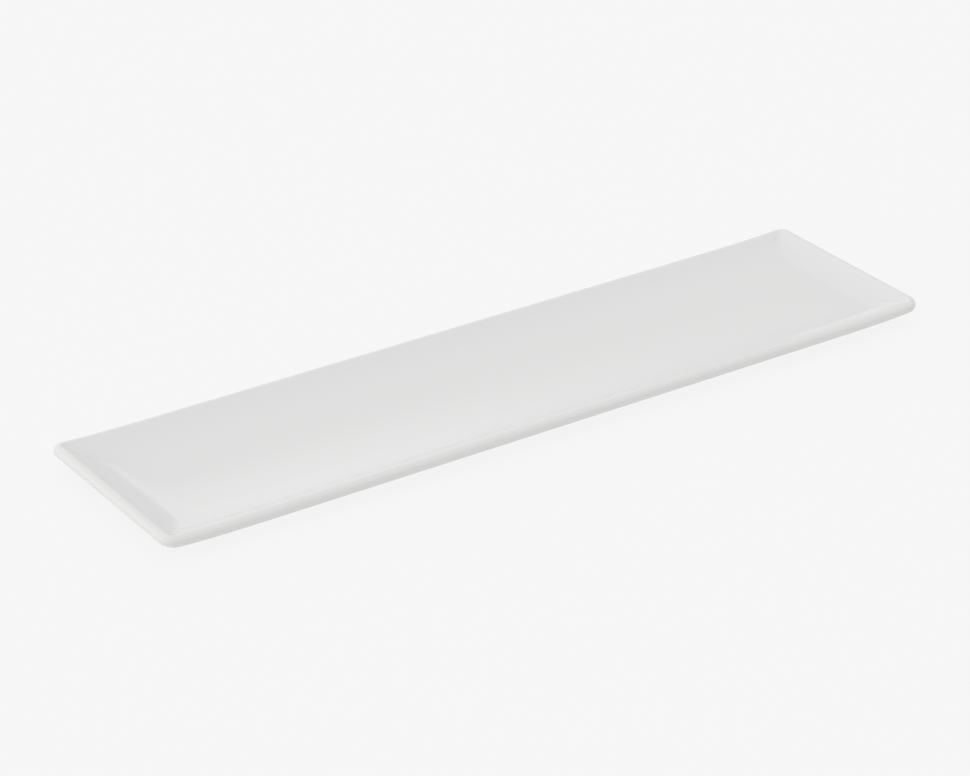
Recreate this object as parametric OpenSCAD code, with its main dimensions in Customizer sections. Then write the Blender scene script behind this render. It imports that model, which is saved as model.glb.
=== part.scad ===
// Long narrow porcelain dish: flat floor, rim turned up all round, round lip, bare foot ring.
// Millimetres. The dish stands on z = 0, centred on the origin, with its length along X.

/* [Plan] */
// Overall length over the lip
dish_l = 310; // [240:1:360]
// Overall width over the lip
dish_w = 80; // [70:0.5:120]
// Plan radius of the lip's outer edge at the corners
corner_r = 5; // [4.5:0.5:10]

/* [Wall] */
// Thickness of the floor and wall, glaze included
wall_t = 3.7; // [2.4:0.1:4.2]
// How far the round lip stands proud of each face of the wall
lip_bead = 0.15; // [0.1:0.05:0.4]
// Radius of the upper face where the floor bends up into the rim
bend_r = 34; // [24:0.5:40]
// Angle through which the rim turns up
bend_angle = 28; // [24:1:40]

/* [Foot] */
// Height of the foot ring below the floor's underside
foot_h = 2; // [1.4:0.1:4]
// Width of the foot ring
foot_w = 3; // [2:0.1:4]
// Flat margin between the start of the bend and the foot ring
foot_margin = 1; // [0.5:0.5:4]
// Plan radius of the foot ring's outer corners
foot_corner_r = 8; // [6:0.5:9]

/* [Glaze] */
// Thickness of the glaze
glaze_t = 0.3; // [0.25:0.05:0.5]
// Height above the table at which the wiped foot ring is bare
wipe_h = 0.8; // [0.4:0.1:1.2]

/* [Hidden] */
$fn = 96;

// Derived positions are kept to a micron
function micron(v) = round(v * 1000) / 1000;

// Spare length by which a cutting shape passes what it cuts
spare = 2;

// Depth under the faces, and reach over the joints, of the cores that tie the runs of the rim together
tie_depth = 0.5;
tie_reach = 0.4;

// Section of the wall
lip_r = wall_t / 2 + lip_bead;
bend_mid_r = bend_r + wall_t / 2;
bend_run = micron(bend_mid_r * sin(bend_angle));
bend_rise = micron(bend_mid_r * (1 - cos(bend_angle)));
floor_z = foot_h + wall_t;
floor_mid_z = foot_h + wall_t / 2;
bend_axis_z = floor_z + bend_r;
lip_z = floor_mid_z + bend_rise;
top_z = lip_z + lip_r;

// Plan, from the middle of the dish outwards
bend_w = bend_run + lip_r;
floor_x = dish_l / 2 - bend_w;
floor_y = dish_w / 2 - bend_w;
mitre = bend_w - corner_r;
foot_x = floor_x - foot_margin;
foot_y = floor_y - foot_margin;

// Section of the wall, from the start of the bend at 0 out to the lip. A skin thins it from every face.
module wall_section(skin) {
    wedge = 2 * (bend_r + wall_t);
    translate([0, bend_axis_z])
        intersection() {
            difference() {
                circle(r = bend_r + wall_t - skin);
                circle(r = bend_r + skin);
            }
            polygon([[0, 0], [0, -wedge], wedge * [sin(bend_angle), -cos(bend_angle)]]);
        }
    translate([bend_run, lip_z])
        circle(r = lip_r - skin);
}

// One straight run of the rim, with the bend starting at distance out and mitred at both ends
module rim_run(along, out, skin) {
    reach = along + mitre;
    intersection() {
        translate([0, out, 0])
            rotate([90, 0, 90])
                linear_extrude(height = 2 * (reach + spare), center = true)
                    wall_section(skin);
        linear_extrude(height = top_z + spare)
            polygon([
                [-along, out], [-reach, out + mitre], [-reach, out + bend_w + spare],
                [reach, out + bend_w + spare], [reach, out + mitre], [along, out]
            ]);
    }
}

// Thinner core inside a run, which reaches over its joints into the floor, the corners and the next runs
module rim_core(along, out, skin) {
    core = skin + tie_depth;
    rim_run(along + tie_reach, out, core);
    translate([-along, out - spare, foot_h + core])
        cube([2 * along, spare + tie_reach, wall_t - 2 * core]);
}

// One quarter turn of the lip about a corner's axis
module rim_corner(skin) {
    translate([floor_x + mitre, floor_y + mitre, 0])
        rotate_extrude(angle = 90)
            intersection() {
                translate([-mitre, 0])
                    wall_section(skin);
                square([corner_r + spare, top_z + spare]);
            }
}

// The floor and the rim as one solid. A skin thins it from every face.
module form(skin) {
    translate([-floor_x, -floor_y, foot_h + skin])
        cube([2 * floor_x, 2 * floor_y, wall_t - 2 * skin]);
    for (turn = [0, 1])
        mirror([0, turn, 0]) {
            rim_run(floor_x, floor_y, skin);
            rim_core(floor_x, floor_y, skin);
        }
    for (turn = [90, -90])
        rotate(turn) {
            rim_run(floor_y, floor_x, skin);
            rim_core(floor_y, floor_x, skin);
        }
    for (flip_x = [0, 1], flip_y = [0, 1])
        mirror([flip_x, 0, 0])
            mirror([0, flip_y, 0])
                rim_corner(skin);
}

// Outline with quarter-round corners, half as long as x and half as wide as y
module round_plan(x, y, r) {
    union() {
        polygon([
            [x, r - y], [x, y - r], [x - r, y - r], [x - r, y], [r - x, y], [r - x, y - r],
            [-x, y - r], [-x, r - y], [r - x, r - y], [r - x, -y], [x - r, -y], [x - r, r - y]
        ]);
        for (flip_x = [0, 1], flip_y = [0, 1])
            mirror([flip_x, 0])
                mirror([0, flip_y])
                    translate([x - r, y - r])
                        intersection() {
                            circle(r = r);
                            square(r + spare);
                        }
    }
}

// Outline of the foot ring's outer side, moved inwards by a skin
module foot_outer(skin) {
    round_plan(foot_x - skin, foot_y - skin, foot_corner_r - skin);
}

// Outline of the foot ring's inner side, moved outwards by a skin
module foot_inner(skin) {
    round_plan(foot_x - foot_w + skin, foot_y - foot_w + skin, foot_corner_r - foot_w + skin);
}

// Fired clay: floor, rim and foot ring, under the glaze
module porcelain_body() {
    color("gainsboro")
        union() {
            form(glaze_t);
            linear_extrude(height = floor_mid_z)
                difference() {
                    foot_outer(glaze_t);
                    foot_inner(glaze_t);
                }
        }
}

// Glaze over the well, the lip, the outer wall and the foot ring's outer side down to the wiped line
module face_glaze() {
    color("white")
        difference() {
            union() {
                form(0);
                translate([0, 0, wipe_h])
                    linear_extrude(height = floor_mid_z - wipe_h)
                        foot_outer(0);
            }
            form(glaze_t);
            linear_extrude(height = floor_mid_z)
                foot_outer(glaze_t);
        }
}

// Glaze under the floor inside the foot ring, down to the wiped line
module base_glaze() {
    color("whitesmoke")
        difference() {
            translate([0, 0, wipe_h])
                linear_extrude(height = foot_h + glaze_t - wipe_h)
                    foot_inner(glaze_t);
            linear_extrude(height = foot_h)
                foot_inner(0);
        }
}

porcelain_body();
face_glaze();
base_glaze();
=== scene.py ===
import math

import bmesh
import bpy
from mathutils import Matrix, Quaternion, Vector


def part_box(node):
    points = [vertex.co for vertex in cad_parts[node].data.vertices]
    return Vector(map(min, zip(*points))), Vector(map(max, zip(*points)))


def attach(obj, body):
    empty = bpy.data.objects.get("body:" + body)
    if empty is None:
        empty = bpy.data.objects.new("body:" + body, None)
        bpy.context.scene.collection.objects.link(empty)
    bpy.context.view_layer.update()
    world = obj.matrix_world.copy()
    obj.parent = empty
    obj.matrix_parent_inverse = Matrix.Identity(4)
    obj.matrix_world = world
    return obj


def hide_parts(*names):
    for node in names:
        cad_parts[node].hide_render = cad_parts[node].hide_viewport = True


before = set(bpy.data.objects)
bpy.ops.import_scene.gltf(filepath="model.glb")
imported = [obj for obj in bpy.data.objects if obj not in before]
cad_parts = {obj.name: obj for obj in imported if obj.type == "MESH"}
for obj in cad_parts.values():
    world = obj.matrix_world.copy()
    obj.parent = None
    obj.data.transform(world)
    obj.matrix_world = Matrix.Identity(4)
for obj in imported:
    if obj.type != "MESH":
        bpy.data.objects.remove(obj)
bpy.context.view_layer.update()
mm = 0.001
noiseMiddle = 0.5  # a noise texture varies about this value
print("frame loaded:", sorted(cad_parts))


# shader maths: a link wraps a socket, so that plain expressions add Math nodes
class Link:
    def __init__(self, tree, socket=None):
        self.tree = tree
        self.socket = socket

    def node(self, kind, settings=None, sockets=None, output=0):
        made = self.tree.nodes.new("ShaderNode" + kind)
        for name, value in (settings or {}).items():
            setattr(made, name, value)
        for name, value in (sockets or {}).items():
            if isinstance(value, Link):
                self.tree.links.new(value.socket, made.inputs[name])
            else:
                made.inputs[name].default_value = value
        return Link(self.tree, made.outputs[output] if made.outputs else None)

    def out(self, name):  # another output of the same node
        return Link(self.tree, self.socket.node.outputs[name])

    def math(self, operation, first, second):
        return self.node("Math", {"operation": operation}, {0: first, 1: second})

    def __add__(self, other):
        return self.math("ADD", self, other)

    def __radd__(self, other):
        return self.math("ADD", other, self)

    def __sub__(self, other):
        return self.math("SUBTRACT", self, other)

    def __rsub__(self, other):
        return self.math("SUBTRACT", other, self)

    def __mul__(self, other):
        return self.math("MULTIPLY", self, other)

    def __rmul__(self, other):
        return self.math("MULTIPLY", other, self)

    def __pow__(self, other):
        return self.math("POWER", self, other)

    def above(self, limit=0.0):
        return self.math("MAXIMUM", self, limit)

    def fade(self, low, high):
        sockets = {"Value": self, "From Min": low, "From Max": high}
        return self.node("MapRange", {"interpolation_type": "SMOOTHSTEP"}, sockets)

    def noise(self, size, detail):
        return self.node("TexNoise", {}, {"Vector": self, "Scale": 1 / size, "Detail": detail})

    def mix(self, amount, first, second):  # a Mix node's colour sockets go by number
        return self.node("Mix", {"data_type": "RGBA"}, {0: amount, 6: first, 7: second}, 2)

    def tint(self, amount, colour):  # this colour, with another laid over it
        return self.mix(amount, self, colour)


def newMaterial(name):
    material = bpy.data.materials.new(name)
    material.use_nodes = True
    tree = material.node_tree
    tree.nodes.clear()
    return material, Link(tree)


# the shape of the dish: overall sizes are the frame's, the rest are the wall's own
faceLow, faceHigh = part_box("face_glaze")
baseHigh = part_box("base_glaze")[1]
dish = {
    "halfLength": faceHigh.x,
    "halfWidth": faceHigh.y,
    "wipeHeight": faceLow.z,  # the foot is bare below this
    "glaze": 0.3 * mm,
    "wall": 3.7 * mm,
    "lipBead": 0.15 * mm,  # the lip swells past each face of the wall by this
    "beadLength": 7.0 * mm,
    "bendRadius": 34.0 * mm,
    "bendAngle": math.radians(28),
    "cornerRadius": 5.0 * mm,
    "wellCorner": 7.0 * mm,
    "footWidth": 3.0 * mm,
    "footCorner": 8.0 * mm,
    "footRound": 0.6 * mm,
    "footFillet": 0.7 * mm,
    "rimDrop": 0.40 * mm,  # at the ends
    "turnSoft": 0.2 * mm,
    "sideDip": 1.35 * mm,  # how much lower the sides are than the ends
    "dipPower": 14,  # a high power keeps the rise to the ends short
    "floorSag": 0.49 * mm,
    "sagHalfWidth": 38.0 * mm,
    "sagLength": (134.0 * mm, 153.0 * mm),  # the hollow runs out between these
    "cornerSteps": 12,
    "lengthCuts": 59,
    "widthCuts": 15,
    "outerSteps": 24,
    "lipSteps": 36,
    "innerSteps": 28,
    "floorRings": 12,
    "baseRings": 8,
    "footSteps": 3,
    "filletSteps": 6,
    "mergeDistance": 0.0005 * mm,
}
dish["underside"] = baseHigh.z - dish["glaze"]
dish["floor"] = dish["underside"] + dish["wall"]
dish["lipRadius"] = dish["wall"] / 2 + dish["lipBead"]
dish["bendRun"] = (dish["bendRadius"] + dish["wall"] / 2) * math.sin(dish["bendAngle"])
dish["bendRise"] = (dish["bendRadius"] + dish["wall"] / 2) * (1 - math.cos(dish["bendAngle"]))
dish["bendInset"] = dish["lipRadius"] + dish["bendRun"]
dish["lipHeight"] = dish["underside"] + dish["wall"] / 2 + dish["bendRise"]
dish["footInset"] = dish["halfLength"] - baseHigh.x + dish["glaze"] - dish["footWidth"]


def smooth(value):
    value = min(1.0, max(0.0, value))
    return value * value * (3 - 2 * value)


def spread(start, end, steps):
    return [start + (end - start) * i / steps for i in range(steps + 1)]


# a section point is (inset from the outer edge, height, corner radius in plan, depth of the glaze),
# and the depth is above 0 where the glaze pools and below 0 where it runs thin
def wallPoint(inset, height, depth):
    share = smooth(inset / dish["bendInset"])
    rounding = max(dish["cornerRadius"] - inset, 0.0)
    return inset, height, math.hypot(rounding, dish["wellCorner"] * share), depth


# one face of the bend: it swells by the bead where it nears the lip
def wallArc(radius, bead, start, end, steps, depth=0.0):
    axis = dish["floor"] + dish["bendRadius"]
    points = []
    for i, angle in enumerate(spread(start, end, steps)):
        swell = bead * smooth(1 - (dish["bendAngle"] - angle) * radius / dish["beadLength"])
        inset = dish["bendInset"] - (radius + swell) * math.sin(angle)
        height = axis - (radius + swell) * math.cos(angle)
        points.append(wallPoint(inset, height, depth * math.sin(math.pi * i / steps)))
    return points


# the round lip, from the outer face over to the inner one
def lipArc(skin):
    radius = dish["lipRadius"] - skin
    points = []
    for turn in spread(0, math.pi, dish["lipSteps"])[1:-1]:
        angle = dish["bendAngle"] + turn
        inset = dish["lipRadius"] - radius * math.sin(angle)
        height = dish["lipHeight"] - radius * math.cos(angle)
        points.append(wallPoint(inset, height, -math.sin(turn) ** 2))
    return points


# from the foot ring out along the underside, up round the lip and in to the middle of the floor
def rimSection(skin):
    outer = dish["bendRadius"] + dish["wall"] - skin
    inner = dish["bendRadius"] + skin
    angle = dish["bendAngle"]
    points = wallArc(outer, dish["lipBead"], 0, angle, dish["outerSteps"])
    points += lipArc(skin)
    points += wallArc(inner, -dish["lipBead"], angle, 0, dish["innerSteps"], 1.0)
    for inset in spread(dish["bendInset"], dish["halfWidth"], dish["floorRings"])[1:]:
        points.append((inset, dish["floor"] - skin, dish["wellCorner"], 0.0))
    return points


# one side of the foot ring, from a low edge up: side is 1 outside the ring and -1 inside
def footSide(skin, side, low):
    wall = dish["footInset"] + skin if side > 0 else dish["footInset"] + dish["footWidth"] - skin
    corner = dish["footCorner"] - (wall - dish["footInset"])
    fillet = dish["footFillet"] + skin
    top = dish["underside"] + skin
    points = [(wall, z, corner, 0.0) for z in spread(low, top - fillet, dish["footSteps"])]
    for turn in spread(0, math.pi / 2, dish["filletSteps"])[1:]:
        shift = side * fillet * (1 - math.cos(turn))
        height = top - fillet * (1 - math.sin(turn))
        points.append((wall - shift, height, corner + shift, math.sin(2 * turn)))
    return points


# the underside inside the foot ring, in to the middle
def baseSection(skin):
    start = dish["footInset"] + dish["footWidth"] + dish["footFillet"]
    rings = spread(start, dish["halfWidth"], dish["baseRings"])[1:]
    return [(inset, dish["underside"] + skin, dish["wellCorner"], 0.0) for inset in rings]


# the ring's bare edge, round on both sides and flat between
def footLand():
    outside = dish["footInset"] + dish["glaze"]
    inside = dish["footInset"] + dish["footWidth"] - dish["glaze"]
    r = dish["footRound"]
    turns = spread(0, math.pi / 2, dish["filletSteps"])
    points = [(inside - r + r * math.cos(turn), r - r * math.sin(turn)) for turn in turns]
    points += [(outside + r - r * math.sin(turn), r - r * math.cos(turn)) for turn in turns]
    corner = dish["footCorner"] + dish["footInset"]
    return [(inset, height, corner - inset, 0.0) for inset, height in points]


# a fired dish has settled: its rim is lower along the sides and its floor is a little hollow,
# and at the ends the bend starts in a shorter turn
def settled(x, y, inset, height, endShare):
    run = max(0.0, dish["bendInset"] - inset)
    arcRise = dish["bendRadius"] - math.sqrt(dish["bendRadius"] ** 2 - run ** 2)
    soft = max(0.0, 1 - abs(arcRise - dish["rimDrop"]) / dish["turnSoft"])
    endDrop = min(arcRise, dish["rimDrop"]) - dish["turnSoft"] * soft ** 2 / 4  # a smooth minimum
    alongEnd = (abs(x) / dish["halfLength"]) ** dish["dipPower"]
    sideDrop = dish["rimDrop"] + dish["sideDip"] * (1 - alongEnd)
    sideDrop *= (run / dish["bendInset"]) ** 2
    across = max(0.0, 1 - (y / dish["sagHalfWidth"]) ** 2) ** 2
    start, end = dish["sagLength"]
    along = 1 - smooth((abs(x) - start) / (end - start))
    drop = endDrop * endShare + sideDrop * (1 - endShare) + dish["floorSag"] * across * along
    return height - drop * min(1.0, height / dish["underside"])  # the foot ring stays level


# a rounded rectangle of edges, and a place for each vertex: the centre of its corner's arc,
# as a share of the half sizes inside the corners, and the way out from there
def startOutline(bm):
    half = Vector((dish["halfLength"], dish["halfWidth"], 1.0))
    radius = dish["cornerRadius"]
    bmesh.ops.create_grid(bm, x_segments=1, y_segments=1, size=1.0)
    bmesh.ops.scale(bm, vec=half, verts=bm.verts[:])
    bmesh.ops.bevel(bm, geom=bm.verts[:], offset=radius, segments=dish["cornerSteps"], profile=0.5,
                    affect="VERTICES", material=-1)
    bmesh.ops.delete(bm, geom=bm.faces[:], context="FACES_ONLY")
    for axis, cuts in ((0, dish["lengthCuts"]), (1, dish["widthCuts"])):
        sides = [e for e in bm.edges if abs(e.verts[0].co[axis] - e.verts[1].co[axis]) > 2 * radius]
        bmesh.ops.subdivide_edges(bm, edges=sides, cuts=cuts)
    reach = half - Vector((radius, radius, 0.0))
    places = {}
    for v in bm.verts:
        core = Vector([min(max(v.co[i], -reach[i]), reach[i]) for i in (0, 1)])
        out = (v.co.xy - core).normalized()
        places[v] = (core.x / reach.x, core.y / reach.y, out.x, out.y)
    return places


# puts the outline at a section point, where the corners hold more glaze than the sides
def setRing(places, point, depthLayer):
    inset, height, corner, depth = point
    halfX = dish["halfLength"] - inset
    halfY = dish["halfWidth"] - inset
    corner = min(corner, halfX, halfY)
    for v, (coreX, coreY, outX, outY) in places.items():
        x = coreX * (halfX - corner) + outX * corner
        y = coreY * (halfY - corner) + outY * corner
        v.co = (x, y, settled(x, y, inset, height, outX ** 2))
        v[depthLayer] = depth * (1 + abs(outX * outY))


# sweeps the outline along a section, one extruded ring for each of its points
def sweptPiece(name, section, material, node):
    bm = bmesh.new()
    depthLayer = bm.verts.layers.float.new("glazeDepth")
    places = startOutline(bm)
    setRing(places, section[0], depthLayer)
    ring = bm.edges[:]
    for point in section[1:]:
        grown = bmesh.ops.extrude_edge_only(bm, edges=ring)["geom"]
        newVerts = [g for g in grown if isinstance(g, bmesh.types.BMVert)]
        ring = [g for g in grown if isinstance(g, bmesh.types.BMEdge)]
        moved = {}
        for v in newVerts:
            old = next(e.other_vert(v) for e in v.link_edges if e.other_vert(v) in places)
            moved[v] = places[old]
        places = moved
        setRing(places, point, depthLayer)
    bmesh.ops.remove_doubles(bm, verts=bm.verts[:], dist=dish["mergeDistance"])
    bmesh.ops.recalc_face_normals(bm, faces=bm.faces[:])
    for face in bm.faces:
        face.smooth = True
    mesh = bpy.data.meshes.new(name)
    bm.to_mesh(mesh)
    bm.free()
    mesh.materials.append(material)
    piece = bpy.data.objects.new(name, mesh)
    bpy.context.scene.collection.objects.link(piece)
    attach(piece, "root")
    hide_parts(node)
    print("made", name, len(mesh.polygons), "faces")


# clear gloss glaze on white porcelain: thick and cool in the bends, thin and warm on the lip
glaze = {
    "white": (0.705, 0.705, 0.701, 1),
    "pooled": (0.692, 0.696, 0.694, 1),
    "pooledTint": 0.8,
    "thin": (0.710, 0.705, 0.696, 1),
    "thinTint": 0.7,
    "cloud": (45 * mm, 3.0),  # size and detail of a noise, and so are the next three
    "mottle": (6 * mm, 3.0),
    "peel": (2.6 * mm, 2.0),
    "swell": (14 * mm, 1.0),
    "cloudTint": 0.35,
    "mottleStart": 0.55,
    "mottleTint": 0.3,
    "mottleRough": 0.04,
    "swellHeight": 2.0,
    "peelDepth": 0.002 * mm,
    "speck": (0.33, 0.29, 0.24, 1),
    "speckSpacing": 9 * mm,
    "speckPick": (0.86, 0.9),  # only cells with a value above these have a speck
    "speckEdge": (0.012, 0.03),  # in shares of the spacing
    "speckTint": 0.6,
    "speckRough": 0.2,
    "speckDip": 3.0,
    "roughness": 0.05,
    "ior": 1.5,
}


def glazeFinish():
    material, graph = newMaterial("clearGlaze")
    at = graph.node("TexCoord", output="Object")
    depth = graph.node("Attribute", {"attribute_name": "glazeDepth"}, output="Fac")
    cloud = at.noise(*glaze["cloud"])
    mottle = at.noise(*glaze["mottle"])
    peel = at.noise(*glaze["peel"])
    swell = at.noise(*glaze["swell"])
    cells = at.node("TexVoronoi", {}, {"Vector": at, "Scale": 1 / glaze["speckSpacing"]}, "Distance")
    pick = cells.out("Color").fade(*glaze["speckPick"])
    specks = (1 - cells.fade(*glaze["speckEdge"])) * pick
    colour = graph.mix(depth.above() * glaze["pooledTint"], glaze["white"], glaze["pooled"])
    colour = colour.tint((0 - depth).above() * glaze["thinTint"], glaze["thin"])
    colour = colour.tint((cloud - noiseMiddle).above() * glaze["cloudTint"], glaze["pooled"])
    colour = colour.tint((mottle - glaze["mottleStart"]).above() * glaze["mottleTint"], glaze["thin"])
    colour = colour.tint(specks * glaze["speckTint"], glaze["speck"])
    roughness = glaze["roughness"] + (mottle - noiseMiddle).above() * glaze["mottleRough"]
    roughness = roughness + specks * glaze["speckRough"]
    height = peel + swell * glaze["swellHeight"] - specks * glaze["speckDip"]
    normal = graph.node("Bump", {}, {"Strength": 1.0, "Distance": glaze["peelDepth"], "Height": height})
    shader = graph.node("BsdfPrincipled", {}, {
        "Base Color": colour, "Roughness": roughness, "Normal": normal, "IOR": glaze["ior"],
    })
    graph.node("OutputMaterial", {}, {"Surface": shader})
    return material


# bare fired porcelain, ground flat on the ring's edge
biscuit = {
    "white": (0.74, 0.72, 0.68, 1),
    "worn": (0.60, 0.58, 0.55, 1),
    "grain": (0.35 * mm, 4.0),  # size and detail of a noise, and so is the next one
    "smudge": (12 * mm, 4.0),
    "smudgeTint": 2.0,
    "grainStart": 0.55,
    "grainRough": 0.2,
    "grainDepth": 0.02 * mm,
    "roughness": 0.72,
}


def biscuitFinish():
    material, graph = newMaterial("barePorcelain")
    at = graph.node("TexCoord", output="Object")
    grain = at.noise(*biscuit["grain"])
    smudge = at.noise(*biscuit["smudge"])
    smudged = (smudge - noiseMiddle).above() * biscuit["smudgeTint"]
    colour = graph.mix(smudged, biscuit["white"], biscuit["worn"])
    colour = colour.tint((grain - biscuit["grainStart"]).above(), biscuit["worn"])
    roughness = biscuit["roughness"] + (grain - noiseMiddle) * biscuit["grainRough"]
    normal = graph.node("Bump", {}, {"Strength": 1.0, "Distance": biscuit["grainDepth"], "Height": grain})
    shader = graph.node("BsdfPrincipled", {}, {
        "Base Color": colour, "Roughness": roughness, "Normal": normal,
    })
    graph.node("OutputMaterial", {}, {"Surface": shader})
    return material


clearGlaze = glazeFinish()
barePorcelain = biscuitFinish()
print("finishes made:", clearGlaze.name, barePorcelain.name)

# the glaze coats are closed shells: out along the fired body, round the edge at the wiped line and back
coat = dish["glaze"]
faceOuter = footSide(0, 1, dish["wipeHeight"]) + rimSection(0)
faceInner = footSide(coat, 1, dish["wipeHeight"]) + rimSection(coat)
sweptPiece("glazed_face", faceInner[::-1] + faceOuter, clearGlaze, "face_glaze")

baseOuter = footSide(0, -1, dish["wipeHeight"]) + baseSection(0)
baseInner = footSide(coat, -1, dish["wipeHeight"]) + baseSection(coat)
sweptPiece("glazed_base", baseInner[::-1] + baseOuter, clearGlaze, "base_glaze")

# the fired body lies between them: out along its floor, over the lip, in to the foot and round it
bodyTop = rimSection(coat)[::-1]
bodyFoot = footSide(coat, 1, dish["footRound"])[::-1] + footLand()[::-1]
bodyFoot += footSide(coat, -1, dish["footRound"]) + baseSection(coat)
sweptPiece("fired_body", bodyTop + bodyFoot, barePorcelain, "porcelain_body")

# plain pale light table under the dish
stage = {
    "radius": 4.0,
    "segments": 96,
    "albedo": 0.08,
    "glow": 0.84,
}


def lightTable():
    bm = bmesh.new()
    bmesh.ops.create_circle(bm, cap_ends=True, segments=stage["segments"], radius=stage["radius"])
    mesh = bpy.data.meshes.new("light_table")
    bm.to_mesh(mesh)
    bm.free()
    material, graph = newMaterial("paleTable")
    shade = (stage["albedo"],) * 3 + (1,)
    shader = graph.node("BsdfPrincipled", {}, {
        "Base Color": shade, "Roughness": 1.0, "Specular IOR Level": 0.0,
        "Emission Color": (1, 1, 1, 1), "Emission Strength": stage["glow"],
    })
    graph.node("OutputMaterial", {}, {"Surface": shader})
    mesh.materials.append(material)
    table = bpy.data.objects.new("light_table", mesh)
    bpy.context.scene.collection.objects.link(table)
    print("light table laid")


lightTable()

# soft studio light: bright overhead and low at the ends, with a lit backdrop low on the far side
light = {
    "room": 0.44,
    "above": 0.82,
    "front": 0.15,  # added towards the near side and taken off towards the far one
    "left": 2.8,
    "right": 0.6,
    "endPower": 4.0,  # a higher power narrows the lights at the ends
    "far": 0.47,
    "near": 0.58,  # taken off low on the near side
    "lowPower": 3.0,  # a higher power keeps the low lights lower
    "backdrop": 0.56,
    "backdropSlope": 0.59,  # its top is this high for each unit away
    "backdropEdge": 0.03,
    "backdropFade": (0.02, 0.92),  # it fades downwards
    "backdropStart": (0.1, 0.6),  # it comes in towards the far side
    "backdropSide": (0.43, 0.61),  # it ends at the right
    "least": 0.02,
}


def studioLight():
    world = bpy.data.worlds.new("studio")
    world.use_nodes = True
    world.node_tree.nodes.clear()
    graph = Link(world.node_tree)
    way = graph.node("TexCoord", output="Generated")
    parts = graph.node("SeparateXYZ", {}, {"Vector": way})
    x, y, z = parts.out("X"), parts.out("Y"), parts.out("Z").above()
    room = light["room"] + z * light["above"] - y * light["front"]
    leftEnd = (0 - x).above() ** light["endPower"] * light["left"]
    rightEnd = x.above() ** light["endPower"] * light["right"]
    sides = leftEnd + rightEnd + y.above() * light["far"] - (0 - y).above() * light["near"]
    down = y * light["backdropSlope"] - z
    backdrop = down.fade(-light["backdropEdge"], light["backdropEdge"]) * y.fade(*light["backdropStart"])
    backdrop = backdrop * (1 - x.fade(*light["backdropSide"])) * (1 - down.fade(*light["backdropFade"]))
    strength = room + (1 - z) ** light["lowPower"] * sides + backdrop * light["backdrop"]
    strength = strength.above(light["least"])
    shader = graph.node("Background", {}, {"Color": (1, 1, 1, 1), "Strength": strength})
    graph.node("OutputWorld", {}, {"Surface": shader})
    bpy.context.scene.world = world
    print("studio light set")


studioLight()

# the camera stands where the photograph was taken from
shot = {
    "frameWidth": 970,
    "focalPixels": 3309,
    "azimuth": math.radians(-33.89),
    "elevation": math.radians(26.99),
    "roll": math.radians(-0.264),
    "distance": 1135.5 * mm,
    "target": (-10.1 * mm, -3.93 * mm),
    "rimShare": 0.8,  # it looks at a point below the lip by this share of the sides' drop
}


def placeCamera():
    data = bpy.data.cameras.new("camera")
    data.lens = shot["focalPixels"] * data.sensor_width / shot["frameWidth"]
    camera = bpy.data.objects.new("camera", data)
    bpy.context.scene.collection.objects.link(camera)
    flat = math.cos(shot["elevation"])
    across = math.sin(shot["azimuth"]) * flat
    away = -math.cos(shot["azimuth"]) * flat
    back = Vector((across, away, math.sin(shot["elevation"])))
    rim = dish["lipHeight"] - (dish["rimDrop"] + dish["sideDip"]) * shot["rimShare"]
    camera.location = Vector((*shot["target"], rim)) + back * shot["distance"]
    level = (-back).to_track_quat("-Z", "Y")
    camera.rotation_euler = (level @ Quaternion((0, 0, 1), shot["roll"])).to_euler()
    bpy.context.scene.camera = camera
    print("camera placed")


placeCamera()
bpy.context.scene.view_settings.view_transform = "Standard"
